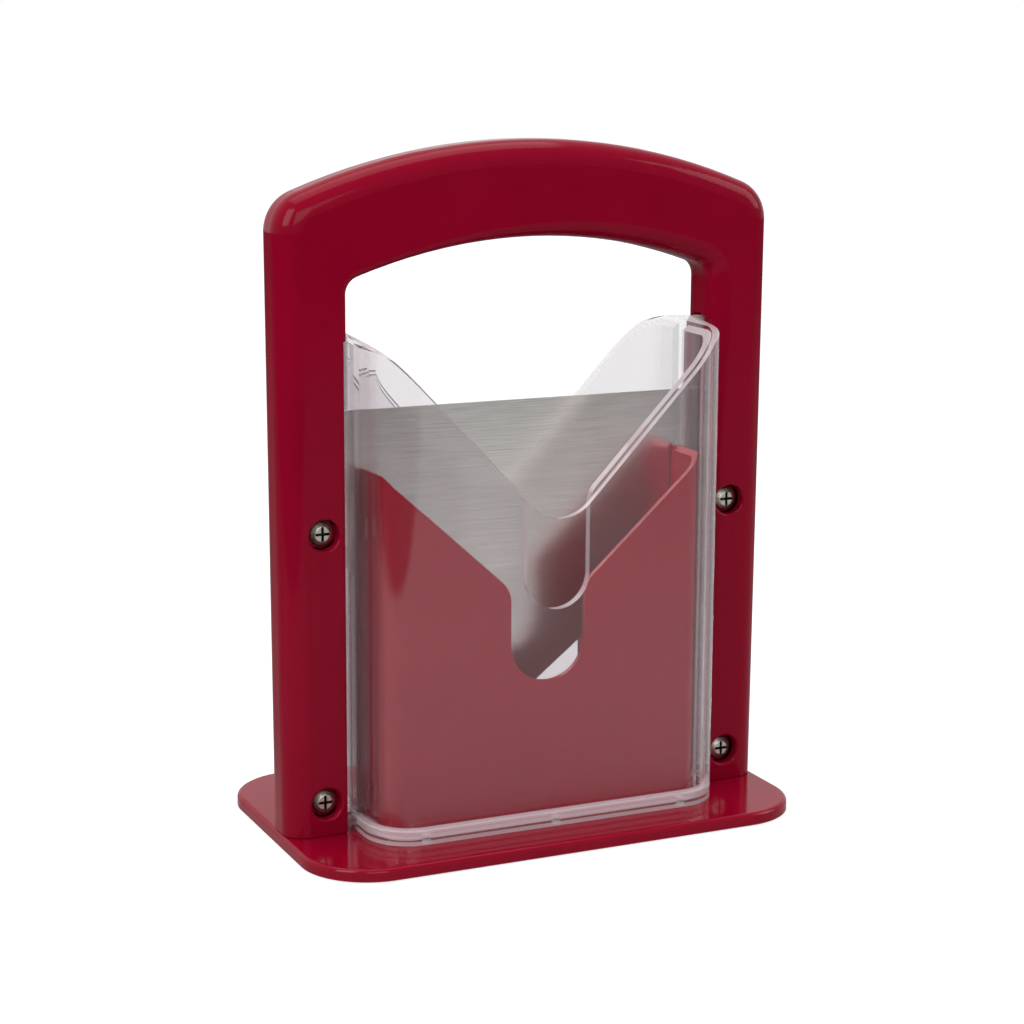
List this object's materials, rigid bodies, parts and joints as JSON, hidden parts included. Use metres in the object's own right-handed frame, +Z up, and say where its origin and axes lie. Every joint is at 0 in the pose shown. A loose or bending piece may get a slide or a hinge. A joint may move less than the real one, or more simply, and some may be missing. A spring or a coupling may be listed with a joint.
{
  "type": "bagel guillotine slicer",
  "caption": "Kitchen bagel slicer: a lift-off arch handle carries a V-edged blade and clear shields down over a red bagel cradle between clear guards on a base plate.",
  "frame": {"origin": "middle of the base plate, on the plane the foot pads rest on", "axes": "+Z up, X along the blade, -Y towards the front of the slicer"},
  "size_m": [0.1814, 0.1114, 0.2352],
  "materials": {
    "red_plastic": "gloss",
    "clear_plastic": "clear",
    "blade_steel": "brushed",
    "screw_steel": "plated",
    "pad_rubber": "matt"
  },
  "bodies": {
    "stand": {"base_plate": "red_plastic", "foot_pads": "pad_rubber", "bagel_cradle": "red_plastic", "inner_guard_front": "clear_plastic", "inner_guard_rear": "clear_plastic", "cradle_screw_left": "screw_steel", "cradle_screw_right": "screw_steel", "guard_screw_front_left": "screw_steel", "guard_screw_front_middle": "screw_steel", "guard_screw_front_right": "screw_steel", "guard_screw_rear_left": "screw_steel", "guard_screw_rear_middle": "screw_steel", "guard_screw_rear_right": "screw_steel"},
    "handle": {"handle_shell_front": "red_plastic", "handle_shell_rear": "red_plastic", "blade": "blade_steel", "outer_shield_front": "clear_plastic", "outer_shield_rear": "clear_plastic", "handle_screw_upper_left": "screw_steel", "handle_screw_upper_right": "screw_steel", "handle_screw_lower_left": "screw_steel", "handle_screw_lower_right": "screw_steel"}
  },
  "joints": [
    {"name": "handle_lift", "type": "slide", "parent": "stand", "child": "handle", "axis": [0, 0, 1], "range_m": [0, 0.17]}
  ]
}
